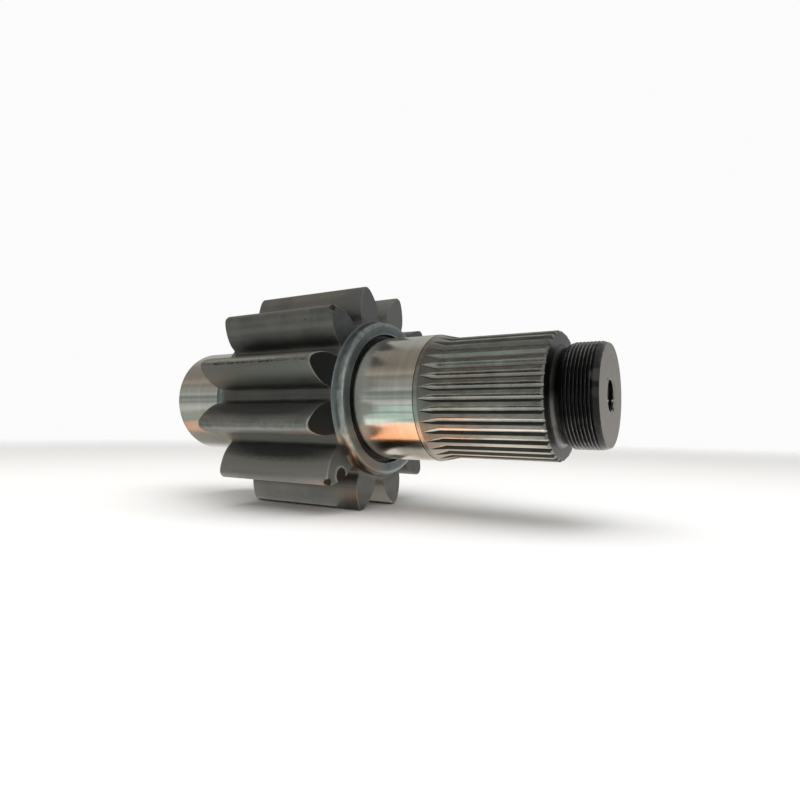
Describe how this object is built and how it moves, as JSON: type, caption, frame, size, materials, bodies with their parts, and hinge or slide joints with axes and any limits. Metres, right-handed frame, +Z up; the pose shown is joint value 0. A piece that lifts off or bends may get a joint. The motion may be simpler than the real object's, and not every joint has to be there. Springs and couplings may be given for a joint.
{
  "type": "pinion gear",
  "caption": "Steel pinion shaft in one piece: coarse spur teeth between two bearing seats, with a splined length and a threaded end for a nut.",
  "frame": {"origin": "on the shaft's axis, in the plane of the shoulder face that the front bearing sits against", "axes": "+X along the shaft towards the threaded end, +Z up with a tooth space straight above the axis, +Y completes the right-handed set"},
  "size_m": [0.3125, 0.1454, 0.1454],
  "materials": {
    "steel": "dark satin phosphated teeth and spline, bright ground bearing seats, black threaded end"
  },
  "bodies": {
    "root": {"rear_journal": "steel", "pinion": "steel", "front_shaft": "steel"}
  },
  "joints": []
}
